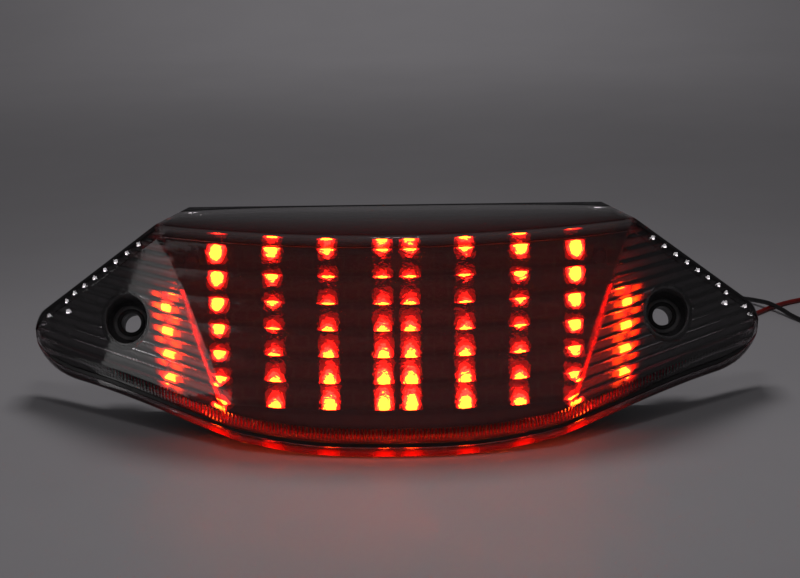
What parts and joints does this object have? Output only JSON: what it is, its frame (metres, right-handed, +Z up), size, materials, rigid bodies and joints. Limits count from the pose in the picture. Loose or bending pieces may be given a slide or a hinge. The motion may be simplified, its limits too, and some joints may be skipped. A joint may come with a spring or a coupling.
{
  "type": "tail light",
  "caption": "Wide LED tail light for a motorcycle: smoked wraparound lens, black housing, LED board, screw posts in both ears and a pair of loose leads.",
  "frame": {"origin": "on the surface that the lamp stands on, under the middle of the lamp without its leads", "axes": "+X along the lamp, towards the ear that the leads come out behind; -Y the way the lens faces; +Z up as it stands on the lower edge of its lens"},
  "size_m": [0.3684, 0.2171, 0.0838],
  "materials": {
    "smoked_lens": "smooth, see-through smoke tint",
    "black_housing": "fine moulded grain",
    "black_rubber": "matt",
    "circuit_board": "satin solder mask",
    "led_red": "lit, glossy dome",
    "screw_steel": "plated",
    "resistor_body": "enamel",
    "component_black": "moulded epoxy",
    "connector_white": "satin nylon",
    "wire_black": "soft insulation",
    "wire_red": "soft insulation",
    "grommet_rubber": "matt",
    "bush_rubber": "matt",
    "lead_black": "soft insulation",
    "lead_red": "soft insulation",
    "plug_sleeve": "soft clear sleeve",
    "plug_brass": "plain"
  },
  "bodies": {
    "root": {"lens": "smoked_lens", "rear_housing": "black_housing", "lens_seal": "black_rubber", "edge_gasket": "black_rubber", "main_circuit_board": "circuit_board", "led_column_01": "led_red", "led_column_02": "led_red", "led_column_03": "led_red", "led_column_04": "led_red", "led_column_05": "led_red", "led_column_06": "led_red", "led_column_07": "led_red", "led_column_08": "led_red", "led_column_09": "led_red", "led_column_10": "led_red", "board_screw_1": "screw_steel", "board_screw_2": "screw_steel", "board_screw_3": "screw_steel", "board_screw_4": "screw_steel", "resistor_1": "resistor_body", "resistor_2": "resistor_body", "resistor_3": "resistor_body", "resistor_4": "resistor_body", "resistor_5": "resistor_body", "resistor_6": "resistor_body", "rectifier_diode_1": "component_black", "rectifier_diode_2": "component_black", "voltage_regulator": "component_black", "smoothing_capacitor": "component_black", "board_header": "connector_white", "harness_plug": "connector_white", "inner_wire_black": "wire_black", "inner_wire_red": "wire_red", "lead_grommet": "grommet_rubber", "mount_bush_left": "bush_rubber", "mount_bush_right": "bush_rubber", "lead_black": "lead_black", "lead_red": "lead_red", "coil_black": "lead_black", "coil_red": "lead_red", "plug_sleeve_black": "plug_sleeve", "plug_sleeve_red": "plug_sleeve", "bullet_terminal_black": "plug_brass", "bullet_terminal_red": "plug_brass"}
  },
  "joints": []
}
